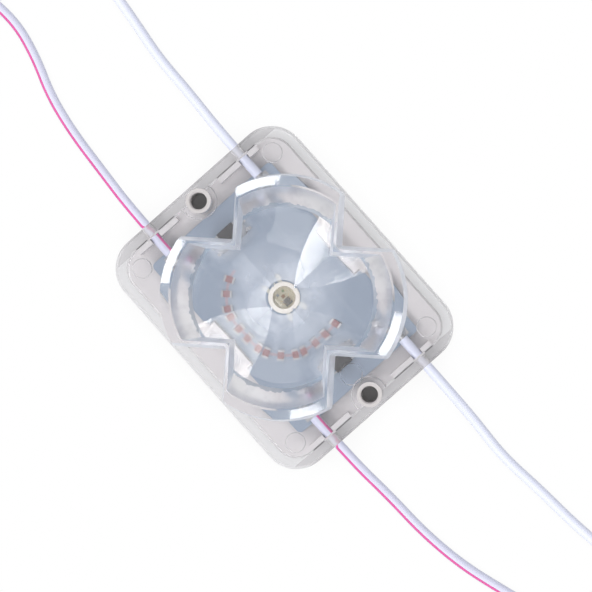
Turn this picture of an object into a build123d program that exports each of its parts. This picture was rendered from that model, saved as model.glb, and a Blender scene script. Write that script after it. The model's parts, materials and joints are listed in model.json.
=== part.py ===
from build123d import *
import os
from math import cos, pi, radians, sin, sqrt, tan

# Flashing led module, in millimetres.
# X runs along the housing, Y across it, Z up from the mounting face at the middle of the housing.

# Housing
body_length = 57.0
body_width = 45.6
corner_radius = 7.0
side_draft = 2.0
cover_wall = 2.3
deck_top = 7.0
deck_thickness = 1.4
deck_edge_chamfer = 0.5
cavity_chamfer = 0.4
fit_gap = 0.1
floor_thickness = 1.6

# Screw places
screw_edge = 3.4
screw_hole = 3.3
pillar_diameter = 4.9
collar_diameter = 7.3
collar_depth = 1.2
collar_draft = 14.0
pillar_chamfer = 0.25

# Four-petal lens
lens_height = 10.4
lens_root = 0.6
lens_draft = 5.0
petal_count = 4
petal_half_width = 10.75
petal_centre = 4.5
petal_radius = 19.6
petal_corner_round = 0.8
bowl_depth = 7.8
bowl_floor_radius = 13.0
bowl_floor_rise = 1.4
rim_wall = 1.5
rim_draft = 8.0
crest_radius = 16.6
crest_land = 0.4
bevel_width = 2.2
bevel_slope = 26.0
ridge_slope = 18.0
ridge_side_slope = 21.5
ridge_clear = 3.0
led_cavity_radius = 3.8
led_cavity_height = 1.0

# Moulding marks
ejector_mark_diameter = 4.0
ejector_mark_inset_x = 3.6
ejector_mark_inset_y = 3.5
gate_mark_diameter = 4.4
gate_mark_to_screw = 5.3
mark_depth = 0.2
mark_draft = 40.0

# Circuit board
board_end_gap = 0.65
board_side_gap = 5.0
board_thickness = 1.0
board_corner = 1.0
board_notch_length = 9.0
board_notch_depth = 1.4
board_seat_height = 0.4
board_seat_size = 2.8
board_seat_inset = 3.5
rail_height = 0.9
pad_thickness = 0.08

# Leads
lead_diameter = 2.0
core_diameter = 1.2
striped_lead_y = -11.1
plain_lead_y = 12.0
lead_inside = 4.9
lead_straight_out = 4.5
strand_length = 3.0
tip_length = 6.0
bend_share = 0.45
tab_width = 10.0
tab_thickness = 1.2
tab_y = 10.5
tongue_width = 2.0
solder_radius = 1.72
solder_sides = 12
solder_slope = 24.0
solder_cover = 0.2

# Led
led_diameter = 6.9
led_height = 1.5
led_rim_chamfer = 0.2
cup_top_diameter = 4.9
cup_floor_diameter = 4.4
cup_floor_height = 0.5
control_die_size = 1.7
control_die_x = 1.1
control_die_height = 0.3
emitter_die_size = 0.6
emitter_die_height = 0.2
emitter_places = {"red": (-0.35, 0.0), "green": (-1.25, 0.7), "blue": (-1.25, -0.7)}
led_terminal_count = 3
led_terminal_pitch = 1.7
led_terminal_width = 0.9
led_terminal_reach = 0.85
led_terminal_thickness = 0.15
led_pad_margin = 0.3

# Chips
chip_length = 2.7
chip_width = 3.8
chip_height = 1.5
chip_standoff = 0.1
chip_end_inset = 5.4
chip_edge = 0.15
chip_leg_thickness = 0.2
chip_leg_foot = 0.6
chip_leg_reach = 1.05
rectifier_leg_width = 0.6
rectifier_leg_pitch = 1.8
rectifier_leg_count = 2
driver_leg_width = 0.3
driver_leg_pitch = 0.65
driver_leg_count = 4

# Ballast resistors
resistor_count = 12
resistor_edge_inset = 3.9
resistor_chip_gap = 3.65
resistor_first_angle = -150.0
resistor_step = 15.0
resistor_length = 2.2
resistor_width = 1.4
resistor_height = 0.6
resistor_cap_length = 0.4
resistor_cap_wall = 0.05

# Places worked out from the sizes above
deck_underside = deck_top - deck_thickness
cavity_length = body_length - 2 * cover_wall
cavity_width = body_width - 2 * cover_wall
cavity_corner = corner_radius - cover_wall
wall_inside_x = cavity_length / 2
screw_spacing = body_length - 2 * screw_edge
board_length = screw_spacing - pillar_diameter - 2 * board_end_gap
board_width = cavity_width - 2 * board_side_gap
chip_x = board_length / 2 - chip_end_inset
resistor_ring = min(board_width / 2 - resistor_edge_inset, chip_x - chip_length / 2 - resistor_chip_gap)
lens_top = deck_top + lens_height
board_bottom = floor_thickness + board_seat_height
board_top = board_bottom + board_thickness
pad_top = board_top + pad_thickness
lead_z = board_top + lead_diameter / 2
lead_clearance = lead_diameter / 2 + fit_gap
tab_outside_x = wall_inside_x - fit_gap
tab_top = deck_underside - cavity_chamfer - fit_gap
screw_places = [(-screw_spacing / 2, 0), (screw_spacing / 2, 0)]
lead_rows = [striped_lead_y, plain_lead_y]
lead_places = [(side, y) for side in (-1, 1) for y in lead_rows]
lead_inner_end = wall_inside_x - lead_inside
lead_straight_end = body_length / 2 + lead_straight_out
floor_lead_z = lead_diameter / 2 + 0.02

os.makedirs("parts", exist_ok=True)


def save(piece, name):
    piece.part.label = name
    export_step(piece.part, "parts/" + name + ".step")


# One petal of the lens, its arm along X, as a flat outline
petal_shoulder = petal_centre + (petal_radius**2 - petal_half_width**2) ** 0.5
with BuildSketch() as petal_outline:
    with BuildLine():
        Polyline(
            (petal_shoulder, petal_half_width),
            (0, petal_half_width),
            (0, -petal_half_width),
            (petal_shoulder, -petal_half_width),
        )
        ThreePointArc(
            (petal_shoulder, -petal_half_width),
            (petal_centre + petal_radius, 0),
            (petal_shoulder, petal_half_width),
        )
    make_face()

# What is scooped out of the top of one petal, round the petal's own centre: a steep bank up to the crest and,
# below it, a shallow spherical floor. Both stop at the petal's drafted side walls and at the ridges that
# rise outwards between neighbouring petals.
bowl_floor = lens_top - bowl_depth
bank_foot = bowl_floor + bowl_floor_rise
floor_sphere = (bowl_floor_radius**2 + bowl_floor_rise**2) / (2 * bowl_floor_rise)
centre_floor = bowl_floor + floor_sphere - sqrt(floor_sphere**2 - petal_centre**2)
ridge_start = centre_floor - ridge_clear * tan(radians(ridge_slope))
rim_lean = radians(rim_draft)
ridge_rise = radians(ridge_slope)
ridge_lean = radians(ridge_side_slope)
petal_axis = Axis((petal_centre, 0, 0), (0, 0, 1))
petal_sides = [Plane(origin=(0, 0, 0), z_dir=(1, side, 0)) for side in (-1, 1)]
scoop_sides = []
for side in (-1, 1):
    into_petal = Vector(1, side, 0).normalized()
    along_ridge = Vector(1, -side, 0).normalized()
    ridge_upright = Vector(0, 0, 1) * cos(ridge_rise) - along_ridge * sin(ridge_rise)
    ridge_normal = into_petal * sin(ridge_lean) + ridge_upright * cos(ridge_lean)
    scoop_sides.append(Plane(origin=(0, 0, ridge_start), z_dir=ridge_normal))
    rim_place = (0, side * (petal_half_width - rim_wall), lens_top)
    scoop_sides.append(Plane(origin=rim_place, z_dir=(0, -side * cos(rim_lean), sin(rim_lean))))
with BuildPart() as petal_bank:
    with BuildSketch(Plane.XZ):
        with BuildLine():
            Polyline(
                (petal_centre + bowl_floor_radius, bank_foot),
                (petal_centre + crest_radius, lens_top),
                (petal_centre + crest_radius, lens_top + 1),
                (petal_centre, lens_top + 1),
                (petal_centre, bank_foot),
                close=True,
            )
        make_face()
    revolve(axis=petal_axis)
    for plane in scoop_sides + petal_sides:
        split(bisect_by=plane, keep=Keep.TOP)
with BuildPart() as petal_floor:
    with Locations(Location((petal_centre, 0, bowl_floor + floor_sphere), (90, 0, 0))):
        Sphere(floor_sphere)
    split(bisect_by=Plane.XY.offset(bank_foot), keep=Keep.BOTTOM)
    for plane in scoop_sides + petal_sides:
        split(bisect_by=plane, keep=Keep.TOP)

# The bevel from the crest down to the petal's outer wall
bevel_start = petal_centre + crest_radius + crest_land
bevel_drop = bevel_width * tan(radians(bevel_slope))
with BuildPart() as petal_bevel:
    with BuildSketch(Plane.XZ):
        with BuildLine():
            Polyline(
                (bevel_start, lens_top),
                (bevel_start + bevel_width, lens_top - bevel_drop),
                (bevel_start + bevel_width, lens_top + 1),
                (bevel_start, lens_top + 1),
                close=True,
            )
        make_face()
    revolve(axis=petal_axis)
    for plane in petal_sides:
        split(bisect_by=plane, keep=Keep.TOP)

# The hollow of the cover, chamfered where its walls meet the deck, with the two screw collars left standing
with BuildPart() as cover_hollow:
    with BuildSketch():
        RectangleRounded(cavity_length, cavity_width, cavity_corner)
    extrude(amount=deck_underside)
    chamfer(cover_hollow.faces().sort_by(Axis.Z)[-1].edges(), cavity_chamfer)
    with BuildSketch(Plane.XY.offset(deck_underside - collar_depth)):
        with Locations(*screw_places):
            Circle(collar_diameter / 2 - collar_depth * tan(radians(collar_draft)))
    extrude(amount=collar_depth, taper=-collar_draft, mode=Mode.SUBTRACT)

# Clear cover and lens, moulded in one piece
dome_radius = (led_cavity_radius**2 + led_cavity_height**2) / (2 * led_cavity_height)
with BuildPart() as lens_cover:
    with BuildSketch():
        RectangleRounded(body_length, body_width, corner_radius)
    extrude(amount=deck_top, taper=side_draft)
    chamfer(lens_cover.faces().sort_by(Axis.Z)[-1].edges(), deck_edge_chamfer)
    with BuildSketch(Plane.XY.offset(deck_top - lens_root)) as lens_foot:
        with PolarLocations(0, petal_count, start_angle=180 / petal_count):
            add(petal_outline.sketch)
        far_corners = lens_foot.vertices().sort_by_distance((0, 0, deck_top))[-2 * petal_count :]
        fillet(far_corners, petal_corner_round)
    extrude(amount=lens_height + lens_root, taper=lens_draft)
    for scoop in (petal_bank, petal_floor, petal_bevel):
        with PolarLocations(0, petal_count, start_angle=180 / petal_count):
            add(scoop.part, mode=Mode.SUBTRACT)
    add(cover_hollow.part, mode=Mode.SUBTRACT)
    # Bores that take the tray's screw pillars
    with BuildSketch():
        with Locations(*screw_places):
            Circle(pillar_diameter / 2 + fit_gap)
    extrude(amount=deck_top, mode=Mode.SUBTRACT)
    # Dome over the led
    with BuildSketch(Plane.XZ):
        with BuildLine():
            dome = RadiusArc(
                (0, deck_underside + led_cavity_height), (led_cavity_radius, deck_underside), dome_radius
            )
            Polyline(dome @ 1, (0, deck_underside), dome @ 0)
        make_face()
    revolve(axis=Axis.Z, mode=Mode.SUBTRACT)
    # Lead notches, open at the bottom of the end walls
    with BuildSketch(Plane.YZ.offset(-body_length / 2 - 1)):
        for row in lead_rows:
            with Locations((row, lead_z)):
                Circle(lead_clearance)
            with Locations((row, lead_z / 2)):
                Rectangle(2 * lead_clearance, lead_z)
    extrude(amount=cover_wall + 1 + fit_gap, mode=Mode.SUBTRACT)
    with BuildSketch(Plane.YZ.offset(body_length / 2 + 1)):
        for row in lead_rows:
            with Locations((row, lead_z)):
                Circle(lead_clearance)
            with Locations((row, lead_z / 2)):
                Rectangle(2 * lead_clearance, lead_z)
    extrude(amount=-(cover_wall + 1 + fit_gap), mode=Mode.SUBTRACT)
    # Ejector marks under the deck corners and the gate mark on the deck
    with BuildSketch(Plane.XY.offset(deck_underside)):
        mark_span_x = cavity_length - 2 * ejector_mark_inset_x
        mark_span_y = cavity_width - 2 * ejector_mark_inset_y
        with GridLocations(mark_span_x, mark_span_y, 2, 2):
            Circle(ejector_mark_diameter / 2)
    extrude(amount=mark_depth, taper=mark_draft, mode=Mode.SUBTRACT)
    with BuildSketch(Plane.XY.offset(deck_top)):
        with Locations((screw_spacing / 2 - gate_mark_to_screw, 0)):
            Circle(gate_mark_diameter / 2)
    extrude(amount=-mark_depth, taper=mark_draft, mode=Mode.SUBTRACT)
save(lens_cover, "lens_cover")

# Pale tray that closes the cover from below
with BuildPart() as base_tray:
    with BuildSketch():
        RectangleRounded(cavity_length - 2 * fit_gap, cavity_width - 2 * fit_gap, cavity_corner - fit_gap)
    extrude(amount=floor_thickness)
    # Upright tabs behind the lead notches
    with BuildSketch(Plane.XY.offset(floor_thickness)):
        with GridLocations(2 * tab_outside_x - tab_thickness, 2 * tab_y, 2, 2):
            Rectangle(tab_thickness, tab_width)
    extrude(amount=tab_top - floor_thickness)
    # Tongues that fill the notches below the leads
    tongue_reach = body_length / 2 - fit_gap - tan(radians(side_draft)) * lead_z
    tongue_middle = (tab_outside_x + tongue_reach) / 2
    with BuildSketch():
        with Locations(*[(side * tongue_middle, row) for side, row in lead_places]):
            Rectangle(tongue_reach - tab_outside_x, tongue_width)
    extrude(amount=board_top + fit_gap)
    # Seats under the board and rails in its two notches
    seat_span_x = board_length - 2 * board_seat_inset
    seat_span_y = board_width - 2 * board_seat_inset
    with BuildSketch(Plane.XY.offset(floor_thickness)):
        with GridLocations(seat_span_x / 2, seat_span_y, 3, 2):
            Rectangle(board_seat_size, board_seat_size)
    extrude(amount=board_seat_height)
    rail_inside_y = board_width / 2 - board_notch_depth + fit_gap
    rail_outside_y = board_width / 2
    with BuildSketch(Plane.XY.offset(floor_thickness)):
        with GridLocations(0, rail_inside_y + rail_outside_y, 1, 2):
            Rectangle(board_notch_length - 2 * fit_gap, rail_outside_y - rail_inside_y)
    extrude(amount=board_top + rail_height - floor_thickness)
    # Screw pillars with their through holes
    with BuildSketch():
        with Locations(*screw_places):
            Circle(pillar_diameter / 2)
    extrude(amount=deck_top - fit_gap)
    with BuildSketch():
        with Locations(*screw_places):
            Circle(screw_hole / 2)
    extrude(amount=deck_top, mode=Mode.SUBTRACT)
    pillar_mouths = base_tray.faces().sort_by(Axis.Z)[-2:].edges()
    chamfer(pillar_mouths.filter_by(lambda edge: edge.radius < pillar_diameter / 2 - 0.1), pillar_chamfer)
    # Round saddles for the leads, open upwards through the tabs
    with BuildSketch(Plane.YZ.offset(-body_length / 2)):
        for row in lead_rows:
            with Locations((row, lead_z)):
                Circle(lead_clearance)
            with Locations((row, lead_z + deck_top / 2)):
                Rectangle(2 * lead_clearance, deck_top)
    extrude(amount=body_length, mode=Mode.SUBTRACT)
save(base_tray, "base_tray")

# Circuit board
with BuildPart() as circuit_board:
    with BuildSketch(Plane.XY.offset(board_bottom)):
        RectangleRounded(board_length, board_width, board_corner)
        with GridLocations(0, board_width - board_notch_depth, 1, 2):
            Rectangle(board_notch_length, board_notch_depth, mode=Mode.SUBTRACT)
    extrude(amount=board_thickness)
save(circuit_board, "circuit_board")

# Copper pads under the lead joints and the led
solder_x = lead_inner_end - solder_radius - fit_gap / 2
led_terminal_span = led_diameter + 2 * led_terminal_reach
with BuildPart() as solder_pads:
    with BuildSketch(Plane.XY.offset(board_top)):
        with Locations(*[(side * solder_x, row) for side, row in lead_places]):
            Rectangle(2 * solder_radius, 2 * solder_radius)
        with GridLocations(0, led_terminal_pitch, 1, led_terminal_count):
            Rectangle(led_terminal_span + 2 * led_pad_margin, led_terminal_width)
        Circle(led_diameter / 2 - 2 * led_pad_margin, mode=Mode.SUBTRACT)
        Circle(cup_floor_diameter / 2)
    extrude(amount=pad_thickness)
save(solder_pads, "solder_pads")

# Led: round cup, heat slug, terminals, four dies and the clear resin over them
cup_floor = pad_top + cup_floor_height
led_top = pad_top + led_height
with BuildPart() as led_package:
    with BuildSketch(Plane.XZ):
        with BuildLine():
            Polyline(
                (cup_floor_diameter / 2, pad_top),
                (led_diameter / 2, pad_top),
                (led_diameter / 2, led_top - led_rim_chamfer),
                (led_diameter / 2 - led_rim_chamfer, led_top),
                (cup_top_diameter / 2, led_top),
                (cup_floor_diameter / 2, cup_floor),
                close=True,
            )
        make_face()
    revolve(axis=Axis.Z)
save(led_package, "led_package")

with BuildPart() as led_heat_slug:
    with BuildSketch(Plane.XY.offset(pad_top)):
        Circle(cup_floor_diameter / 2)
    extrude(amount=cup_floor_height)
save(led_heat_slug, "led_heat_slug")

with BuildPart() as led_terminals:
    with BuildSketch(Plane.XY.offset(pad_top)):
        with GridLocations(0, led_terminal_pitch, 1, led_terminal_count):
            Rectangle(led_terminal_span, led_terminal_width)
        Circle(led_diameter / 2, mode=Mode.SUBTRACT)
    extrude(amount=led_terminal_thickness)
save(led_terminals, "led_terminals")

with BuildPart() as led_control_die:
    with BuildSketch(Plane.XY.offset(cup_floor)):
        with Locations((control_die_x, 0)):
            Rectangle(control_die_size, control_die_size)
    extrude(amount=control_die_height)
save(led_control_die, "led_control_die")

emitter_dies = {}
for colour, place in emitter_places.items():
    with BuildPart() as emitter:
        with BuildSketch(Plane.XY.offset(cup_floor)):
            with Locations(place):
                Rectangle(emitter_die_size, emitter_die_size)
        extrude(amount=emitter_die_height)
    emitter_dies[colour] = emitter
    save(emitter, "led_" + colour + "_die")

with BuildPart() as led_resin:
    with BuildSketch(Plane.XZ):
        with BuildLine():
            Polyline(
                (0, cup_floor),
                (cup_floor_diameter / 2, cup_floor),
                (cup_top_diameter / 2, led_top),
                (0, led_top),
                close=True,
            )
        make_face()
    revolve(axis=Axis.Z)
    add(led_control_die.part, mode=Mode.SUBTRACT)
    for emitter in emitter_dies.values():
        add(emitter.part, mode=Mode.SUBTRACT)
save(led_resin, "led_resin")


def chip_body(centre_x):
    with BuildPart() as body:
        with BuildSketch(Plane.XY.offset(board_top + chip_standoff)):
            with Locations((centre_x, 0)):
                Rectangle(chip_length, chip_width)
        extrude(amount=chip_height)
        chamfer(body.faces().sort_by(Axis.Z)[-1].edges(), chip_edge)
    return body


def chip_legs(centre_x, count, pitch, width):
    # Gull-wing legs along both long sides, drawn in the plane across the chip
    side_y = chip_width / 2
    shoulder_z = board_top + chip_standoff + chip_height / 2
    foot_start = side_y + chip_leg_reach - chip_leg_foot
    with BuildPart() as legs:
        for place in range(count):
            start_x = centre_x + (place - (count - 1) / 2) * pitch - width / 2
            with BuildSketch(Plane.YZ.offset(start_x)):
                with BuildLine():
                    Polyline(
                        (side_y, shoulder_z),
                        (foot_start + chip_leg_thickness, shoulder_z),
                        (foot_start + chip_leg_thickness, board_top + chip_leg_thickness),
                        (side_y + chip_leg_reach, board_top + chip_leg_thickness),
                        (side_y + chip_leg_reach, board_top),
                        (foot_start, board_top),
                        (foot_start, shoulder_z - chip_leg_thickness),
                        (side_y, shoulder_z - chip_leg_thickness),
                        close=True,
                    )
                make_face()
            extrude(amount=width)
        mirror(about=Plane.XZ)
    return legs


save(chip_body(-chip_x), "bridge_rectifier")
save(
    chip_legs(-chip_x, rectifier_leg_count, rectifier_leg_pitch, rectifier_leg_width),
    "bridge_rectifier_legs",
)
save(chip_body(chip_x), "driver_chip")
save(chip_legs(chip_x, driver_leg_count, driver_leg_pitch, driver_leg_width), "driver_chip_legs")


# Ballast resistors, small chips in a ring round the led, each with an end cap at both ends
def resistor_places(radius, place):
    turn = resistor_first_angle + place * resistor_step
    return PolarLocations(radius, 1, start_angle=turn)


resistor_body_z = board_top + resistor_cap_wall
for place in range(resistor_count):
    with BuildPart() as resistor:
        with BuildSketch(Plane.XY.offset(resistor_body_z)):
            with resistor_places(resistor_ring, place):
                Rectangle(resistor_length - 2 * resistor_cap_length, resistor_width - 2 * resistor_cap_wall)
        extrude(amount=resistor_height - 2 * resistor_cap_wall)
    save(resistor, "ballast_resistor_" + str(place + 1))
    cap_shift = (resistor_length - resistor_cap_length) / 2
    with BuildPart() as caps:
        with BuildSketch(Plane.XY.offset(board_top)):
            with resistor_places(resistor_ring - cap_shift, place):
                Rectangle(resistor_cap_length, resistor_width)
            with resistor_places(resistor_ring + cap_shift, place):
                Rectangle(resistor_cap_length, resistor_width)
        extrude(amount=resistor_height)
    save(caps, "ballast_resistor_caps_" + str(place + 1))


# Leads: bare strands and a solder joint on the board, the insulated lead and its tinned tip
def smooth_path(points):
    # Straight runs joined by arcs as large as the two runs beside each point allow
    corners = [Vector(*point) for point in points]
    radii = []
    for before, corner, after in zip(corners, corners[1:], corners[2:]):
        turn = radians((corner - before).get_angle(after - corner))
        shorter = min((corner - before).length, (after - corner).length)
        radii.append(bend_share * shorter / tan(turn / 2))
    with BuildLine() as path:
        FilletPolyline(*corners, radius=radii)
    return path, radii


def lead(name, side, row, floor_points):
    straight_end = (side * lead_straight_end, row, lead_z)
    route = [(side * lead_inner_end, row, lead_z), straight_end]
    route += [(x, y, floor_lead_z) for x, y in floor_points]
    path, radii = smooth_path(route)
    centreline = path.wires()[0]
    with BuildPart() as tube:
        with BuildSketch(Plane(origin=centreline @ 0, z_dir=centreline % 0)):
            Circle(lead_diameter / 2)
        sweep(path=centreline)
    save(tube, name)
    share = tube.part.volume / (pi * lead_diameter**2 / 4 * centreline.length)
    print(name, "length", round(centreline.length, 2), "volume share", round(share, 4))
    print("  bend radii", [round(radius, 1) for radius in radii])
    with BuildPart() as tip:
        with BuildSketch(Plane(origin=centreline @ 1, z_dir=centreline % 1)):
            Circle(core_diameter / 2)
        extrude(amount=tip_length)
    save(tip, name + "_tip")
    with BuildPart() as strands:
        with BuildSketch(Plane(origin=centreline @ 0, z_dir=(-side, 0, 0))):
            Circle(core_diameter / 2)
        extrude(amount=strand_length)
    save(strands, name + "_strands")
    with BuildPart() as solder:
        with BuildSketch(Plane.XY.offset(pad_top)):
            with Locations((side * solder_x, row)):
                RegularPolygon(solder_radius, solder_sides)
        extrude(amount=lead_z + core_diameter / 2 + solder_cover - pad_top, taper=solder_slope)
        add(strands.part, mode=Mode.SUBTRACT)
    save(solder, name + "_solder")


lead(
    "striped_lead_left",
    -1,
    striped_lead_y,
    [
        (-42.5, -10.6),
        (-52.0, -9.9),
        (-60.5, -8.4),
        (-68.0, -5.6),
        (-75.8, -3.9),
        (-84.0, -4.8),
        (-93.0, -7.2),
        (-101.5, -8.5),
    ],
)
lead(
    "plain_lead_left",
    -1,
    plain_lead_y,
    [
        (-42.5, 12.5),
        (-52.0, 12.6),
        (-60.5, 13.8),
        (-69.0, 14.7),
        (-78.0, 14.2),
        (-87.0, 12.4),
        (-95.5, 12.0),
        (-103.0, 12.8),
    ],
)
lead(
    "striped_lead_right",
    1,
    striped_lead_y,
    [
        (42.5, -10.5),
        (52.5, -10.2),
        (62.0, -8.8),
        (70.5, -6.3),
        (78.5, -3.6),
        (87.0, -2.2),
        (95.5, -2.6),
        (103.0, -3.9),
    ],
)
lead(
    "plain_lead_right",
    1,
    plain_lead_y,
    [
        (42.5, 11.9),
        (51.5, 11.3),
        (61.0, 12.4),
        (70.0, 13.0),
        (79.0, 14.2),
        (88.0, 14.7),
        (96.5, 14.0),
        (104.0, 13.1),
    ],
)
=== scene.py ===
import json
from math import atan, cos, pi, radians, sin

import bpy
from mathutils import Matrix, Vector, noise


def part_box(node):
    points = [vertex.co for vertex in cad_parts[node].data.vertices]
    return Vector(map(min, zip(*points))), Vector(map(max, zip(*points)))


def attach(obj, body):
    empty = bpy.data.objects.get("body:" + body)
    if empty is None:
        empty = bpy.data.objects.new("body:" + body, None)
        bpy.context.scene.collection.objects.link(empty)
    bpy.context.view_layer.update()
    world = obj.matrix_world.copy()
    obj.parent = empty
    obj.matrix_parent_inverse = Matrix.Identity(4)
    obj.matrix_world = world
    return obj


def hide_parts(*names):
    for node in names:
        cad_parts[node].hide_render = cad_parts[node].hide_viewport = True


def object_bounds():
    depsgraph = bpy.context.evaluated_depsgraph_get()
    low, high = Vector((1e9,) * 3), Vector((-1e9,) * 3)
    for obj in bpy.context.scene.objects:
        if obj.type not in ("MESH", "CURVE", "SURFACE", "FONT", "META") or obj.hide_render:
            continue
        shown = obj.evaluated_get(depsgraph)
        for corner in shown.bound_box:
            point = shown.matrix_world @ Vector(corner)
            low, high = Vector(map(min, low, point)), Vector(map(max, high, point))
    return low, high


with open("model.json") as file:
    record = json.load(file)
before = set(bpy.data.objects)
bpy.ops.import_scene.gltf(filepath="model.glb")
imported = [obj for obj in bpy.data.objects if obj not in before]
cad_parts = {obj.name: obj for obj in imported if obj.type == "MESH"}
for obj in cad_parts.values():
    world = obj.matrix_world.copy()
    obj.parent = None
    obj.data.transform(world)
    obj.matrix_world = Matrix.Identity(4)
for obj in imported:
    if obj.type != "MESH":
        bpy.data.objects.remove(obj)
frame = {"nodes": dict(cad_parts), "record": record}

mm = 0.001
up = Vector((0, 0, 1))
plasticIor = 1.5
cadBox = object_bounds()
print("frame loaded,", len(frame["nodes"]), "nodes")


# Shader maths: one socket with the usual signs, each of which adds a Math node
class Wire:
    def __init__(self, tree, socket):
        self.tree = tree
        self.socket = socket

    def math(self, operation, *others):
        return addNode(self.tree, "ShaderNodeMath", {"operation": operation}, [self, *others])

    def __add__(self, other):
        return self.math("ADD", other)

    def __radd__(self, other):
        return self.math("ADD", other)

    def __sub__(self, other):
        return self.math("SUBTRACT", other)

    def __rsub__(self, other):
        return self.math("MULTIPLY", -1).math("ADD", other)

    def __mul__(self, other):
        return self.math("MULTIPLY", other)

    def __rmul__(self, other):
        return self.math("MULTIPLY", other)

    def __pow__(self, other):
        return self.math("POWER", other)

    def size(self):
        return self.math("ABSOLUTE")

    def larger(self, other):
        return self.math("MAXIMUM", other)

    def smaller(self, other):
        return self.math("MINIMUM", other)

    def below(self, limit):
        return self.math("LESS_THAN", limit)

    def above(self, limit):
        return self.math("GREATER_THAN", limit)

    def between(self, low, high):
        return self.above(low) * self.below(high)

    def ramp(self, start, end, low=0.0, high=1.0):
        # Goes evenly from low to high as the value goes from start to end, and stays there beyond
        return addNode(self.tree, "ShaderNodeMapRange", {}, {0: self, 1: start, 2: end, 3: low, 4: high})


def addNode(tree, kind, settings=None, values=None, output=0):
    node = tree.nodes.new(kind)
    for name, value in (settings or {}).items():
        if name == "stops":
            for element, (place, colour) in zip(node.color_ramp.elements, value):
                element.position = place
                element.color = (*colour, 1)
        else:
            setattr(node, name, value)
    pairs = values.items() if isinstance(values, dict) else enumerate(values or [])
    for key, value in pairs:
        socket = node.inputs[key]
        if isinstance(value, Wire):
            tree.links.new(value.socket, socket)
        elif socket.type == "RGBA" and len(value) == 3:
            socket.default_value = (*value, 1)
        else:
            socket.default_value = value
    return Wire(tree, node.outputs[output]) if node.outputs else None


class Finish:
    def __init__(self, name):
        self.material = bpy.data.materials.new(name)
        self.material.use_nodes = True
        self.tree = self.material.node_tree
        self.tree.nodes.clear()

    def add(self, kind, settings=None, values=None, output=0):
        return addNode(self.tree, kind, settings, values, output)

    def parts(self, vector):
        return [self.add("ShaderNodeSeparateXYZ", {}, [vector], output) for output in range(3)]

    def place(self):
        return self.add("ShaderNodeTexCoord", output=3)

    def axes(self):
        return self.parts(self.place())

    # A dictionary gives a noise as its scale, its detail and its stretch along the axes
    def noise(self, scale, detail, stretch=(1, 1, 1)):
        spot = self.add("ShaderNodeMapping", {}, {"Vector": self.place(), "Scale": stretch})
        return self.add("ShaderNodeTexNoise", {}, {"Vector": spot, "Scale": scale, "Detail": detail})

    def mix(self, low, high, factor):
        return self.add("ShaderNodeMix", {"data_type": "RGBA"}, {0: factor, 6: low, 7: high}, 2)

    # And a bump as its strength and depth
    def bump(self, height, strength, depth):
        values = {"Height": height, "Strength": strength, "Distance": depth}
        return self.add("ShaderNodeBump", {}, values)

    def surface(self, values):
        return self.add("ShaderNodeBsdfPrincipled", {}, values)

    def matt(self, colour):
        return self.surface({"Base Color": colour, "Roughness": 1.0, "Specular IOR Level": 0.0})

    def done(self, shader):
        self.add("ShaderNodeOutputMaterial", {}, {"Surface": shader})
        return self.material


# Camera, straight above the module and turned as in the picture
viewFrom = {
    "turn": radians(48.5),          # from the picture's right to the housing's length
    "tilt": radians(2.4),           # the lens leans to the picture's left
    "distance": 450 * mm,
    "frameWidth": 115.9 * mm,
    "aimRight": 2.2 * mm,
    "aimUp": 0.3 * mm,
    "aimHeight": 3 * mm,
    "clipFrom": 10 * mm,
}


def makeCamera():
    right = Vector((cos(viewFrom["turn"]), sin(viewFrom["turn"]), 0))
    across = up.cross(right)
    back = up * cos(viewFrom["tilt"]) + right * sin(viewFrom["tilt"])
    aim = right * viewFrom["aimRight"] + across * viewFrom["aimUp"] + up * viewFrom["aimHeight"]
    leaned = across.cross(back)
    turned = Matrix((leaned, across, back)).transposed().to_4x4()
    data = bpy.data.cameras.new("camera")
    data.angle = 2 * atan(viewFrom["frameWidth"] / 2 / viewFrom["distance"])
    data.clip_start = viewFrom["clipFrom"]
    camera = bpy.data.objects.new("camera", data)
    camera.matrix_world = Matrix.Translation(aim + back * viewFrom["distance"]) @ turned
    bpy.context.scene.collection.objects.link(camera)
    bpy.context.scene.camera = camera


makeCamera()
print("camera made")


# Small helpers for meshes
def addPiece(name, points, faces, material):
    mesh = bpy.data.meshes.new(name)
    mesh.from_pydata([tuple(point) for point in points], [], faces)
    mesh.materials.append(material)
    for polygon in mesh.polygons:
        polygon.use_smooth = True
    mesh.update()
    piece = bpy.data.objects.new(name, mesh)
    bpy.context.scene.collection.objects.link(piece)
    return piece


def sweepRings(rings):
    # Faces between rings of equally many points, and one across each end
    count = len(rings[0])
    points = [point for ring in rings for point in ring]
    faces = []
    for step in range(len(rings) - 1):
        for side in range(count):
            after = (side + 1) % count
            low, high = step * count, (step + 1) * count
            faces.append((low + side, low + after, high + after, high + side))
    faces.append(tuple(reversed(range(count))))
    faces.append(tuple(range(len(points) - count, len(points))))
    return points, faces


def crossAxes(line, index):
    # Direction of travel, level side and upright at one point of a line
    before = line[max(index - 1, 0)]
    after = line[min(index + 1, len(line) - 1)]
    travel = (after - before).normalized()
    side = travel.cross(up).normalized()
    return travel, side, side.cross(travel)


def tubeAlong(line, radius, sides):
    rings = []
    for index, centre in enumerate(line):
        side, upright = crossAxes(line, index)[1:]
        turns = [2 * pi * k / sides for k in range(sides)]
        rings.append([centre + radius * (cos(turn) * upright + sin(turn) * side) for turn in turns])
    return sweepRings(rings)


# Leads. Each route starts where the lead is soldered and ends at its bare tip.
leadSizes = {
    "radius": 1.0 * mm,
    "insideZ": 4.0,
    "floorZ": 1.02,
    "solderX": 21.3,
    "straightX": 33.0,
    "stripedY": -11.1,
    "plainY": 12.0,
    "curveSteps": 10,
    "roundSteps": 5,
}
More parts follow.
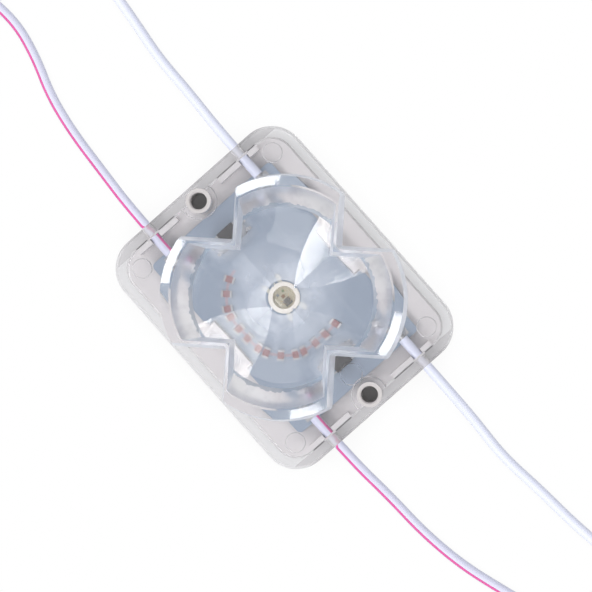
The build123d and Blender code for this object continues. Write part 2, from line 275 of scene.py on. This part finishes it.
# Bare tip: six tinned strands twisted round one
tipSizes = {
    "length": 6 * mm,
    "steps": 18,
    "outerStrands": 6,
    "radius": 0.2 * mm,
    "gapShare": 0.98,
    "twistLength": 9 * mm,
    "sides": 10,
    "bright": (0.72, 0.7, 0.66),
    "dull": (0.55, 0.53, 0.5),
    "stain": (1500, 3),
    "roughness": 0.25,
    "stainRoughness": 0.2,
}
leads = {
    "stripedLeadLeft": {
        "node": "striped_lead_left",
        "side": -1,
        "row": leadSizes["stripedY"],
        "length": 81.7 * mm,
        "floor": [
            (-42.5, -10.6), (-52.0, -9.9), (-60.5, -8.4), (-68.0, -5.6),
            (-75.8, -3.9), (-84.0, -4.8), (-93.0, -7.2), (-101.5, -8.5),
        ],
    },
    "plainLeadLeft": {
        "node": "plain_lead_left",
        "side": -1,
        "row": leadSizes["plainY"],
        "length": 82.3 * mm,
        "floor": [
            (-42.5, 12.5), (-52.0, 12.6), (-60.5, 13.8), (-69.0, 14.7),
            (-78.0, 14.2), (-87.0, 12.4), (-95.5, 12.0), (-103.0, 12.8),
        ],
    },
    "stripedLeadRight": {
        "node": "striped_lead_right",
        "side": 1,
        "row": leadSizes["stripedY"],
        "length": 83.1 * mm,
        "floor": [
            (42.5, -10.5), (52.5, -10.2), (62.0, -8.8), (70.5, -6.3),
            (78.5, -3.6), (87.0, -2.2), (95.5, -2.6), (103.0, -3.9),
        ],
    },
    "plainLeadRight": {
        "node": "plain_lead_right",
        "side": 1,
        "row": leadSizes["plainY"],
        "length": 83.3 * mm,
        "floor": [
            (42.5, 11.9), (51.5, 11.3), (61.0, 12.4), (70.0, 13.0),
            (79.0, 14.2), (88.0, 14.7), (96.5, 14.0), (104.0, 13.1),
        ],
    },
}
stripe = {
    "outsideTurn": radians(43),     # from the top of the lead towards the housing's front
    "insideTurn": radians(-46),
    "halfWidth": radians(18),
    "twistFrom": 26.8 * mm,
    "twistTo": 29.0 * mm,
    "proud": 0.02 * mm,
    "depth": 0.05 * mm,
    "steps": 6,
    "reach": 40 * mm,
    "gap": 0.3 * mm,
    "pink": (0.68, 0.1, 0.35),
    "wornPink": (0.56, 0.06, 0.26),
    "wear": (700, 3),
    "roughness": 0.35,
    "wearRoughness": 0.15,
}
insulationLook = {
    "striped": {"tint": (0.64, 0.655, 0.79), "shade": (0.57, 0.585, 0.74)},
    "plain": {"tint": (0.7, 0.73, 0.85), "shade": (0.63, 0.66, 0.8)},
    "mottle": (500, 3),
    "streak": (160, 2, (0.15, 1, 1)),
    "grain": (300, 2),
    "grainBump": (0.1, 0.04 * mm),
    "roughness": 0.32,
    "mottleRoughness": 0.12,
}


def insulationFinish(kind):
    made = Finish(kind + "Insulation")
    colours = insulationLook[kind]
    mottle = made.noise(*insulationLook["mottle"])
    streak = made.noise(*insulationLook["streak"])
    grain = made.noise(*insulationLook["grain"])
    return made.done(made.surface({
        "Base Color": made.mix(colours["tint"], colours["shade"], mottle * 0.5 + streak * 0.5),
        "Roughness": mottle * insulationLook["mottleRoughness"] + insulationLook["roughness"],
        "IOR": plasticIor,
        "Normal": made.bump(grain, *insulationLook["grainBump"]),
    }))


def stripeFinish():
    made = Finish("pinkStripe")
    wear = made.noise(*stripe["wear"])
    return made.done(made.surface({
        "Base Color": made.mix(stripe["pink"], stripe["wornPink"], wear),
        "Roughness": wear * stripe["wearRoughness"] + stripe["roughness"],
        "IOR": plasticIor,
    }))


def wireFinish():
    made = Finish("tinnedWire")
    stain = made.noise(*tipSizes["stain"])
    return made.done(made.surface({
        "Base Color": made.mix(tipSizes["bright"], tipSizes["dull"], stain),
        "Metallic": 1.0,
        "Roughness": stain * tipSizes["stainRoughness"] + tipSizes["roughness"],
    }))


def routeOf(lead):
    ends = [lead["side"] * leadSizes["solderX"], lead["side"] * leadSizes["straightX"]]
    points = [(x, lead["row"], leadSizes["insideZ"]) for x in ends]
    points += [(x, y, leadSizes["floorZ"]) for x, y in lead["floor"]]
    return [Vector(point) * mm for point in points]


def makeLead(name, lead, material):
    points = routeOf(lead)
    data = bpy.data.curves.new(name, "CURVE")
    data.dimensions = "3D"
    spline = data.splines.new("NURBS")
    spline.points.add(len(points) - 1)
    for spot, point in zip(spline.points, points):
        spot.co = (*point, 1)
    spline.order_u = 3
    spline.use_endpoint_u = True
    spline.resolution_u = leadSizes["curveSteps"]
    spline.use_smooth = True
    piece = bpy.data.objects.new(name, data)
    bpy.context.scene.collection.objects.link(piece)
    bpy.context.view_layer.update()
    line = [vertex.co.copy() for vertex in bpy.data.meshes.new_from_object(piece).vertices]
    data.bevel_depth = leadSizes["radius"]
    data.bevel_resolution = leadSizes["roundSteps"]
    data.use_fill_caps = True
    data.materials.append(material)
    return piece, line


def makeStripe(name, line, material):
    outside = leadSizes["radius"] + stripe["proud"]
    inside = leadSizes["radius"] - stripe["depth"]
    rings = []
    for index, centre in enumerate(line):
        side, upright = crossAxes(line, index)[1:]
        if side.y > 0:
            side = -side
        along = (abs(centre.x) - stripe["twistFrom"]) / (stripe["twistTo"] - stripe["twistFrom"])
        along = min(max(along, 0), 1)
        share = along * along * (3 - 2 * along)
        middle = stripe["insideTurn"] + share * (stripe["outsideTurn"] - stripe["insideTurn"])
        ring = []
        for radius, way in ((outside, 1), (inside, -1)):
            for step in range(stripe["steps"]):
                turn = middle + way * stripe["halfWidth"] * (2 * step / (stripe["steps"] - 1) - 1)
                ring.append(centre + radius * (cos(turn) * upright + sin(turn) * side))
        rings.append(ring)
    points, faces = sweepRings(rings)
    return addPiece(name, points, faces, material)


def refineLine(line):
    # Extra points where the stripe twists, so that its turn is even
    finer = [line[0]]
    for start, end in zip(line, line[1:]):
        parts = 1
        if min(abs(start.x), abs(end.x)) < stripe["reach"]:
            parts = max(1, round((end - start).length / stripe["gap"]))
        finer += [start.lerp(end, (part + 1) / parts) for part in range(parts)]
    return finer


def makeTip(name, line, material):
    travel, side, upright = crossAxes(line, len(line) - 1)
    points, faces = [], []
    outer, steps, radius = tipSizes["outerStrands"], tipSizes["steps"], tipSizes["radius"]
    for strand in range(outer + 1):
        reach = 0 if strand == outer else 2 * radius
        route = []
        for step in range(steps + 1):
            along = tipSizes["length"] * step / steps
            turn = 2 * pi * (along / tipSizes["twistLength"] + strand / outer)
            route.append(line[-1] + travel * along + reach * (cos(turn) * upright + sin(turn) * side))
        corners, sides = tubeAlong(route, radius * tipSizes["gapShare"], tipSizes["sides"])
        faces += [[len(points) + index for index in face] for face in sides]
        points += corners
    piece = addPiece(name, points, faces, material)
    for polygon in piece.data.polygons:
        polygon.use_smooth = len(polygon.vertices) == 4     # the cut ends stay flat
    return piece


insulations = {kind: insulationFinish(kind) for kind in ("striped", "plain")}
pinkStripe = stripeFinish()
tinnedWire = wireFinish()
for name, lead in leads.items():
    kind = "striped" if name.startswith("striped") else "plain"
    cord, line = makeLead(name, lead, insulations[kind])
    tip = makeTip(name + "Tip", line, tinnedWire)
    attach(cord, "root")
    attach(tip, "root")
    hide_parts(lead["node"])
    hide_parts(lead["node"] + "_tip")
    kind.replace("plain", "white") + "_insulation"
    if kind == "striped":
        ribbon = makeStripe(name + "Stripe", refineLine(line), pinkStripe)
        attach(ribbon, "root")
print("leads made")


# Clear cover and lens: glass to the eye, with dull zones of painted light and shade, and open to light on its
# way to what lies beneath
coverLook = {
    "tint": (0.955, 0.955, 0.965),
    "cloudTint": (0.94, 0.94, 0.955),
    "streakShadeTint": (0.74, 0.74, 0.77),
    "lampTint": (0.93, 0.93, 0.94),
    "ior": 1.49,
    "transmission": 0.985,
    "roughness": 0.03,
    "cloudRoughness": 0.02,
    "slopeRoughness": 0.28,
    "smearRoughness": 0.1,
    "rippleBump": (0.22, 0.12 * mm),
    "ripple": (110, 3),
    "cloud": (900, 3),
    "lensWave": (260, 2),
    "lensWaveHeight": 0.4,
    "streaks": (420, 2, (1, 1, 0.08)),
    "streakHeight": 1.8,
    "streakShadeRamp": (0.45, 0.65),
    "smearWave": (380, 2),
    "smearHeight": 1.4,
    "patches": (210, 2),
    "patchRamp": (0.38, 0.62, 0.28, 0.56),
    "paintedBoardTeeth": (900, 2, (1, 1, 0.1)),
    # Colours of the dull layer, painted in place of light: pale sheen in the lens, the board's edge bent into
    # view, a grey shade line at the deck's edge, and the shadow in the tabs' joints
    "paintedLensSheen": (0.72, 0.76, 0.84),
    "paintedBoardShade": (0.3, 0.36, 0.44),
    "paintedEdgeShade": (0.5, 0.49, 0.5),
    "jointShade": (0.1, 0.095, 0.1),
    "mostBounces": 5,
}
# How much of each zone is dull instead of clear; the dull layer is painted light and shade in place of what
# the clear plastic bends and mirrors
dullShares = {
    "paintedEdgeLine": 0.75,
    "joint": 0.2,
    "notch": 0.6,
    "middle": 1.0,
    "corner": 0.5,
    "side": 0.3,
    "paintedBoardTeeth": 0.6,
}
coverPlaces = {
    "lensFrom": 7.3 * mm,
    "edgeFrom": 5.15 * mm,
    "edgeTo": 5.81 * mm,
    "jointX": 25.6 * mm,
    "jointTop": 5.42 * mm,
    "tabsFrom": 5.6 * mm,
    "tabsTo": 15.4 * mm,
    "leadGap": 1.5 * mm,
    "notchFrom": 26.15 * mm,
    "hazeFrom": 3.4 * mm,
    "hazeTo": 13 * mm,
    "cornerFrom": 12 * mm,
    "cornerTo": 15 * mm,
    "cornerCore": 2.5 * mm,
    "cornerReach": 5.5 * mm,
    "smearFrom": 8.5 * mm,
    "smearTo": 14.5 * mm,
    "petalCentre": 3.18 * mm,
    "bankFoot": 13 * mm,
    "toothReach": 1.3 * mm,
}
# How level a face of the cover lies, from 0 for upright to 1 for level
levels = {
    "wall": 0.3,
    "bank": 0.4,
    "steep": 0.6,
    "chamferFrom": 0.6,
    "chamferTo": 0.74,
    "floor": 0.85,
    "slope": 0.93,
}
arcTilt = 0.27      # slope of the line below which the arc of resistors lies


def lightRays(made):
    # Rays that carry light to what lies beneath, and those that have bounced too often inside
    lamp = made.add("ShaderNodeLightPath", output="Is Shadow Ray")
    soft = made.add("ShaderNodeLightPath", output="Is Diffuse Ray")
    deep = made.add("ShaderNodeLightPath", output="Ray Depth").above(coverLook["mostBounces"])
    return lamp.larger(soft).larger(deep)


def coverZones(made):
    # Each zone is 1 inside and 0 outside, and some fade at their border
    x, y, z = made.axes()
    farX, farY = x.size(), y.size()
    away = (x * x + y * y) ** 0.5
    normal = made.parts(made.add("ShaderNodeNewGeometry", output="True Normal"))
    endwise, level = normal[0].size(), normal[2].size()
    at = coverPlaces
    lens = z.above(at["lensFrom"])
    # The steep sides of the scoops, and the part of the lens over the resistors
    steep = level.ramp(levels["slope"], levels["steep"])
    smear = lens * away.between(at["smearFrom"], at["smearTo"]) * (y - arcTilt * x).below(0)
    # Painted shade: a grey dull line on the chamfer under the deck's edge and on the ejector marks, and
    # painted shadow on the chamfer's joints with the tray's tabs
    paintedEdgeLine = z.between(at["edgeFrom"], at["edgeTo"]) * level.between(levels["chamferFrom"], levels["chamferTo"])
    alongTab = farY.between(at["tabsFrom"], at["tabsTo"])
    for row in ("stripedY", "plainY"):
        alongTab = alongTab * (y - leadSizes[row] * mm).size().above(at["leadGap"])
    joint = paintedEdgeLine * alongTab * farX.above(at["jointX"]) * z.below(at["jointTop"])
    # Painted shade: the wall's lead notches are grey and dull instead of clear
    notch = z.below(at["edgeFrom"]) * farX.above(at["notchFrom"]) * endwise.below(levels["wall"])
    # The floors round the led, in patches of painted pale sheen
    fade = away.above(at["hazeFrom"]) * away.ramp(at["hazeTo"], at["hazeFrom"])
    patches = made.noise(*coverLook["patches"]).ramp(*coverLook["patchRamp"])
    middle = lens * level.above(levels["floor"]) * fade * patches
    # The corners where two petals' walls meet, and the outer sides of the lens, with painted pale sheen
    outward = farX.larger(farY).ramp(at["cornerFrom"], at["cornerTo"])
    inward = farX.smaller(farY).ramp(at["cornerReach"], at["cornerCore"])
    corner = lens * level.above(levels["bank"]) * outward * inward
    side = lens * level.below(levels["wall"])
    # Painted refraction: dark teeth at the foot of each petal's bank, where it bends the board's edge into
    # view
    petalX, petalY = farX - at["petalCentre"], farY - at["petalCentre"]
    upBank = (petalX * petalX + petalY * petalY) ** 0.5 - at["bankFoot"]
    toothTop = made.noise(*coverLook["paintedBoardTeeth"]) * at["toothReach"]
    onBank = level.between(levels["bank"], levels["slope"])
    paintedBoardTeeth = lens * onBank * upBank.above(0) * (upBank - toothTop).below(0)
    return {
        "lens": lens,
        "steep": steep,
        "smear": smear,
        "paintedEdgeLine": paintedEdgeLine,
        "joint": joint,
        "notch": notch,
        "middle": middle,
        "corner": corner,
        "side": side,
        "paintedBoardTeeth": paintedBoardTeeth,
    }


def coverGlass(made, zones):
    # Flow ripple all over, more of it in the lens, and streaks down its steep sides, bumped and darkened with
    # painted shade
    cloud = made.noise(*coverLook["cloud"])
    streaks = made.noise(*coverLook["streaks"])
    lensSlopes = zones["steep"] * zones["lens"]
    height = made.noise(*coverLook["ripple"])
    height = height + zones["lens"] * made.noise(*coverLook["lensWave"]) * coverLook["lensWaveHeight"]
    height = height + lensSlopes * streaks * coverLook["streakHeight"]
    height = height + zones["smear"] * made.noise(*coverLook["smearWave"]) * coverLook["smearHeight"]
    clear = made.mix(coverLook["tint"], coverLook["cloudTint"], cloud)
    # Painted shade: dark streaks in the glass's tint down the lens's steep sides
    paintedStreakShade = streaks.ramp(*coverLook["streakShadeRamp"]) * lensSlopes
    roughness = cloud * coverLook["cloudRoughness"] + coverLook["roughness"]
    roughness = roughness + zones["steep"] * coverLook["slopeRoughness"]
    return made.surface({
        "Base Color": made.mix(clear, coverLook["streakShadeTint"], paintedStreakShade),
        "Roughness": roughness + zones["smear"] * coverLook["smearRoughness"],
        "IOR": coverLook["ior"],
        "Transmission Weight": coverLook["transmission"],
        "Normal": made.bump(height, *coverLook["rippleBump"]),
    })


def clearCoverFinish():
    made = Finish("clearCover")
    zones = coverZones(made)
    # Painted sheen: the dull layer is pale in the lens and a grey shade elsewhere
    shade = made.mix(coverLook["paintedEdgeShade"], coverLook["paintedLensSheen"], zones["lens"])
    # Painted refraction: dark blue teeth where the banks bend the board's edge into view
    shade = made.mix(shade, coverLook["paintedBoardShade"], zones["paintedBoardTeeth"])
    # Painted shadow: near-black in the joints with the tray's tabs, standing in for the shadow in the gap
    shade = made.mix(shade, coverLook["jointShade"], zones["joint"])
    share = sum(zones[name] * part for name, part in dullShares.items())
    layers = [share.smaller(1), coverGlass(made, zones), made.matt(shade)]
    cover = made.add("ShaderNodeMixShader", {}, layers)
    through = made.add("ShaderNodeBsdfTransparent", {}, {"Color": coverLook["lampTint"]})
    return made.done(made.add("ShaderNodeMixShader", {}, [lightRays(made), cover, through]))


trayLook = {
    "pale": (0.63, 0.608, 0.61),
    "clouded": (0.58, 0.563, 0.568),
    "pillarTopShade": (0.52, 0.5, 0.5),
    "pillarTopFrom": 6.5 * mm,
    "cloud": (140, 3),
    "grain": (3800, 2),
    "grainBump": (0.15, 0.02 * mm),
    "roughness": 0.42,
    "cloudRoughness": 0.12,
}


def trayFinish():
    made = Finish("paleTray")
    cloud = made.noise(*trayLook["cloud"])
    grain = made.noise(*trayLook["grain"])
    tint = made.mix(trayLook["pale"], trayLook["clouded"], cloud)
    # Painted shade: the screw pillars' tops, which stand bare in the deck without the cover over them, are
    # darker than the rest of the tray
    paintedTopShade = made.axes()[2].above(trayLook["pillarTopFrom"])
    return made.done(made.surface({
        "Base Color": made.mix(tint, trayLook["pillarTopShade"], paintedTopShade),
        "Roughness": cloud * trayLook["cloudRoughness"] + trayLook["roughness"],
        "IOR": plasticIor,
        "Normal": made.bump(grain, *trayLook["grainBump"]),
    }))


boardLook = {
    "mask": (0.22, 0.275, 0.355),
    "maskLight": (0.253, 0.308, 0.388),
    "overCopper": (0.25, 0.304, 0.383),
    "overTrace": (0.33, 0.25, 0.29),
    "traceRing": 11.6 * mm,
    "traceHalf": 0.275 * mm,
    "traceTop": 0.5 * mm,
    "railY": 8.2 * mm,
    "railHalf": 0.35 * mm,
    "copperBump": (0.4, 0.04 * mm),
    "cloud": (160, 3),
    "roughness": 0.33,
    "cloudRoughness": 0.1,
}


def boardFinish():
    # Solder mask over a ring-shaped trace under the resistors and two straight rails
    made = Finish("boardMask")
    x, y = made.axes()[:2]
    away = (x * x + y * y) ** 0.5
    ring = (away - boardLook["traceRing"]).size().below(boardLook["traceHalf"])
    ring = ring * (y - arcTilt * x).below(boardLook["traceTop"])
    rails = (y.size() - boardLook["railY"]).size().below(boardLook["railHalf"])
    cloud = made.noise(*boardLook["cloud"])
    mask = made.mix(boardLook["mask"], boardLook["maskLight"], cloud)
    tint = made.mix(made.mix(mask, boardLook["overCopper"], rails), boardLook["overTrace"], ring)
    return made.done(made.surface({
        "Base Color": tint,
        "Roughness": cloud * boardLook["cloudRoughness"] + boardLook["roughness"],
        "IOR": plasticIor,
        "Normal": made.bump(ring.larger(rails), *boardLook["copperBump"]),
    }))


metalLook = {
    "stain": (1300, 4),
    "stainRoughness": 0.15,
    "grain": (5200, 2),
    "grainBump": (0.1, 0.01 * mm),
}
mouldedLook = {
    "cloud": (1100, 3),
    "cloudRoughness": 0.12,
    "grain": (6500, 2),
    "grainBump": (0.2, 0.008 * mm),
}
resinLook = {
    "clear": (0.95, 0.93, 0.87),
    "clouded": (0.92, 0.9, 0.83),
    "lampTint": (0.95, 0.93, 0.88),
    "haze": (2200, 2),
    "roughness": 0.02,
    "hazeRoughness": 0.04,
    "ior": 1.41,
}


def metalFinish(name, bright, dull, roughness):
    made = Finish(name)
    stain = made.noise(*metalLook["stain"])
    grain = made.noise(*metalLook["grain"])
    return made.done(made.surface({
        "Base Color": made.mix(bright, dull, stain),
        "Metallic": 1.0,
        "Roughness": stain * metalLook["stainRoughness"] + roughness,
        "Normal": made.bump(grain, *metalLook["grainBump"]),
    }))


def mouldedFinish(name, base, shade, roughness):
    made = Finish(name)
    cloud = made.noise(*mouldedLook["cloud"])
    grain = made.noise(*mouldedLook["grain"])
    return made.done(made.surface({
        "Base Color": made.mix(base, shade, cloud),
        "Roughness": cloud * mouldedLook["cloudRoughness"] + roughness,
        "IOR": plasticIor,
        "Normal": made.bump(grain, *mouldedLook["grainBump"]),
    }))


def resinFinish():
    made = Finish("clearResin")
    haze = made.noise(*resinLook["haze"])
    glass = made.surface({
        "Base Color": made.mix(resinLook["clear"], resinLook["clouded"], haze),
        "Roughness": haze * resinLook["hazeRoughness"] + resinLook["roughness"],
        "IOR": resinLook["ior"],
        "Transmission Weight": 1.0,
    })
    through = made.add("ShaderNodeBsdfTransparent", {}, {"Color": resinLook["lampTint"]})
    return made.done(made.add("ShaderNodeMixShader", {}, [lightRays(made), glass, through]))


finishes = {
    "clear_cover": clearCoverFinish(),
    "pale_tray": trayFinish(),
    "board": boardFinish(),
    "tinned_copper": metalFinish("tinnedCopper", (0.46, 0.46, 0.47), (0.38, 0.38, 0.39), 0.3),
    "solder": metalFinish("solderJoint", (0.72, 0.72, 0.73), (0.58, 0.58, 0.6), 0.22),
    "silver_plate": mouldedFinish("silverPlate", (0.62, 0.62, 0.56), (0.54, 0.54, 0.49), 0.3),
    "led_cup": mouldedFinish("ledCup", (0.84, 0.81, 0.75), (0.76, 0.73, 0.67), 0.4),
    "clear_resin": resinFinish(),
    "dark_die": mouldedFinish("darkDie", (0.17, 0.18, 0.21), (0.22, 0.23, 0.26), 0.25),
    "red_die": mouldedFinish("redDie", (0.34, 0.22, 0.17), (0.28, 0.18, 0.14), 0.25),
    "green_die": mouldedFinish("greenDie", (0.3, 0.4, 0.3), (0.25, 0.34, 0.26), 0.25),
    "blue_die": mouldedFinish("blueDie", (0.32, 0.38, 0.5), (0.27, 0.33, 0.44), 0.25),
    "black_moulding": mouldedFinish("blackMoulding", (0.016, 0.016, 0.018), (0.024, 0.024, 0.027), 0.5),
    "brown_lacquer": mouldedFinish("brownLacquer", (0.25, 0.1, 0.105), (0.2, 0.075, 0.08), 0.4),
    "white_insulation": insulations["plain"],
    "striped_insulation": insulations["striped"],
}
slotOf = {part["node"]: part["material_slot"] for part in frame["record"]["subparts"]}
for node, piece in frame["nodes"].items():
    piece.data.materials.clear()
    piece.data.materials.append(finishes[slotOf[node]])
print("finishes made")


# Solder joints: smooth mounds that run up the bare strands
solderShape = {
    # Radius and height of each ring of the mound
    "rings": [
        (1.72, 0.0), (1.66, 0.12), (1.45, 0.42), (1.22, 0.8),
        (1.02, 1.15), (0.8, 1.45), (0.5, 1.64), (0.2, 1.71),
    ],
    "sides": 28,
    "unevenness": 0.07,
    "lumpScale": 1.3,
    "lumpShift": 900,
}


def makeSolder(name, node):
    low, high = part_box(node)
    centre = (low + high) / 2
    rings = []
    for radius, height in solderShape["rings"]:
        ring = []
        for side in range(solderShape["sides"]):
            turn = 2 * pi * side / solderShape["sides"]
            spot = Vector((cos(turn), sin(turn), height))
            lump = noise.noise(spot * solderShape["lumpScale"] + centre * solderShape["lumpShift"])
            reach = radius * mm * (1 + solderShape["unevenness"] * lump * min(height, 1))
            rim = (centre.x + reach * cos(turn), centre.y + reach * sin(turn), low.z + height * mm)
            ring.append(Vector(rim))
        rings.append(ring)
    points, faces = sweepRings(rings)
    piece = addPiece(name, points, faces, finishes["solder"])
    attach(piece, "root")
    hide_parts(node)


for name, lead in leads.items():
    makeSolder(name + "Solder", lead["node"] + "_solder")
print("solder made")


# Bond wires, as fine gold loops from the dies to the led's floor
bond = {
    "radius": 0.028 * mm,
    "rise": 0.32 * mm,
    "steps": 14,
    "sides": 8,
    "lean": 0.4,
    "gold": (0.9, 0.68, 0.36),
    "dullGold": (0.78, 0.56, 0.28),
    "roughness": 0.2,
    # The die that each wire starts on, the start's place on it and the landing's place on the led's floor
    "runs": [
        ("led_control_die", (0.45, 0.35), (0.75, 1.2)),
        ("led_control_die", (0.45, -0.35), (0.75, -1.2)),
        ("led_control_die", (-0.5, 0.4), (-0.1, 1.35)),
        ("led_control_die", (-0.5, -0.4), (-0.1, -1.35)),
        ("led_red_die", (0, 0.1), (-0.3, 0.9)),
        ("led_green_die", (0, 0.1), (-0.75, 1.25)),
        ("led_blue_die", (0, -0.1), (-0.75, -1.25)),
    ],
}


def makeBondWires():
    material = metalFinish("goldBond", bond["gold"], bond["dullGold"], bond["roughness"])
    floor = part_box("led_control_die")[0].z
    for index, (node, offset, landing) in enumerate(bond["runs"]):
        low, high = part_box(node)
        middle = (low + high) / 2
        start = Vector((middle.x + offset[0] * mm, middle.y + offset[1] * mm, high.z))
        end = Vector((landing[0] * mm, landing[1] * mm, floor + bond["radius"]))
        line = []
        for step in range(bond["steps"]):
            share = step / (bond["steps"] - 1)
            height = bond["rise"] * sin(pi * share) * (1 + bond["lean"] * (0.5 - share))
            line.append(start.lerp(end, share) + up * height)
        points, faces = tubeAlong(line, bond["radius"], bond["sides"])
        piece = addPiece("bondWire" + str(index + 1), points, faces, material)
        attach(piece, "root")


makeBondWires()
print("bond wires made")


# Floor, sky and lamps
studio = {
    "floorSize": 6.0,
    "floorDrop": 0.03 * mm,
    "floorWhite": (0.62, 0.62, 0.62),
    "bentShare": 0.5,
    "screwX": 25.1 * mm,
    "holeShade": 2.6 * mm,
    "shadowReach": 9 * mm,
    "shadowSamples": 8,
    "shadowRamp": (0.1, 0.7, 0.9, 1.0),
    "skyTop": (0.8, 0.8, 0.81),
    "skySide": (0.7, 0.7, 0.71),
    "skyTopFrom": 0.75,
    "frontShare": 0.45,
    # Bright strips off the housing's ends, mirrored by the lens rims, and dim boxes for the ridges.
    # A lamp's azimuth is turned from the housing's length, its lean from the vertical, in degrees.
    "lampDistance": 0.66,
    "lampTint": (1.0, 0.98, 0.955),
    "lamps": {
        "leftBackStrip": {"azimuth": 156.5, "lean": 56, "width": 0.26, "height": 0.04, "radiance": 19},
        "leftFrontStrip": {"azimuth": -152, "lean": 58, "width": 0.26, "height": 0.04, "radiance": 19},
        "rightBackStrip": {"azimuth": 25.5, "lean": 53, "width": 0.27, "height": 0.04, "radiance": 19},
        "rightFrontStrip": {"azimuth": -26.5, "lean": 55.4, "width": 0.23, "height": 0.04, "radiance": 19},
        "leftBackBox": {"azimuth": 138.5, "lean": 52.6, "width": 0.19, "height": 0.06, "radiance": 2},
        "leftFrontBox": {"azimuth": -135, "lean": 55.2, "width": 0.19, "height": 0.06, "radiance": 1.6},
        "rightBackBox": {"azimuth": 44.7, "lean": 50, "width": 0.19, "height": 0.06, "radiance": 0.5},
        "rightFrontBox": {"azimuth": -48.5, "lean": 52.6, "width": 0.19, "height": 0.06, "radiance": 1.2},
        "topBox": {"azimuth": -60, "lean": 14, "width": 0.13, "height": 0.13, "radiance": 2.2},
        "frontBox": {"azimuth": -90, "lean": 37, "width": 0.36, "height": 0.2, "radiance": 5},
    },
}


def whiteRays(made):
    # Camera rays, mirrored ones, and half of those that the cover has bent
    seen = made.add("ShaderNodeLightPath", output="Is Camera Ray")
    mirrored = made.add("ShaderNodeLightPath", output="Is Glossy Ray")
    bent = made.add("ShaderNodeLightPath", output="Is Transmission Ray")
    return seen.larger(mirrored * (1 - bent * studio["bentShare"]))


def makeFloor():
    # The white ground keeps the object's own shadow beneath the screw holes; close beside the skirt the
    # shadow is painted, as its glow dims with ambient occlusion
    made = Finish("floor")
    size = studio["floorSize"] / 2
    drop = cadBox[0].z - studio["floorDrop"]
    x, y = made.axes()[:2]
    fromScrew = x.size() - studio["screwX"]
    inHole = (fromScrew * fromScrew + y * y).below(studio["holeShade"] ** 2)
    settings, reach = {"samples": studio["shadowSamples"]}, {"Distance": studio["shadowReach"]}
    free = made.add("ShaderNodeAmbientOcclusion", settings, reach, 1)
    # Painted shadow: the glow's colour is darker where ambient occlusion is low
    white = made.mix((0, 0, 0), (1, 1, 1), free.ramp(*studio["shadowRamp"]))
    glow = made.add("ShaderNodeEmission", {}, {"Color": white, "Strength": 1.0})
    layers = [whiteRays(made) * (1 - inHole), made.matt(studio["floorWhite"]), glow]
    shader = made.add("ShaderNodeMixShader", {}, layers)
    corners = [(-size, -size, drop), (size, -size, drop), (size, size, drop), (-size, size, drop)]
    floor = addPiece("floor", corners, [(0, 1, 2, 3)], made.done(shader))


def makeSky():
    world = bpy.data.worlds.new("sky")
    world.use_nodes = True
    tree = world.node_tree
    tree.nodes.clear()
    way = addNode(tree, "ShaderNodeTexCoord", output=0)
    height = addNode(tree, "ShaderNodeSeparateXYZ", {}, [way], 2)
    depth = addNode(tree, "ShaderNodeSeparateXYZ", {}, [way], 1)
    stops = [(0.0, studio["skySide"]), (studio["skyTopFrom"], studio["skyTop"])]
    tint = addNode(tree, "ShaderNodeValToRGB", {"stops": stops}, [height])
    dimmed = {"Color": tint, "Strength": 1 - depth * studio["frontShare"]}
    sky = addNode(tree, "ShaderNodeBackground", {}, dimmed)
    plain = addNode(tree, "ShaderNodeBackground", {}, {"Color": (1, 1, 1), "Strength": 1.0})
    seen = addNode(tree, "ShaderNodeLightPath", output="Is Camera Ray")
    shader = addNode(tree, "ShaderNodeMixShader", {}, [seen, sky, plain])
    addNode(tree, "ShaderNodeOutputWorld", {}, {"Surface": shader})
    bpy.context.scene.world = world


def makeLamps():
    for name, lamp in studio["lamps"].items():
        azimuth, lean = radians(lamp["azimuth"]), radians(lamp["lean"])
        way = Vector((sin(lean) * cos(azimuth), sin(lean) * sin(azimuth), cos(lean)))
        data = bpy.data.lights.new(name, "AREA")
        data.shape = "RECTANGLE"
        data.size = lamp["width"]
        data.size_y = lamp["height"]
        data.energy = lamp["radiance"] * pi * lamp["width"] * lamp["height"]
        data.color = studio["lampTint"]
        piece = bpy.data.objects.new(name, data)
        piece.location = way * studio["lampDistance"]
        piece.rotation_mode = "QUATERNION"
        piece.rotation_quaternion = way.to_track_quat("Z", "Y")
        bpy.context.scene.collection.objects.link(piece)


makeFloor()
makeSky()
makeLamps()
bpy.context.scene.view_settings.view_transform = "Standard"
print("studio made")
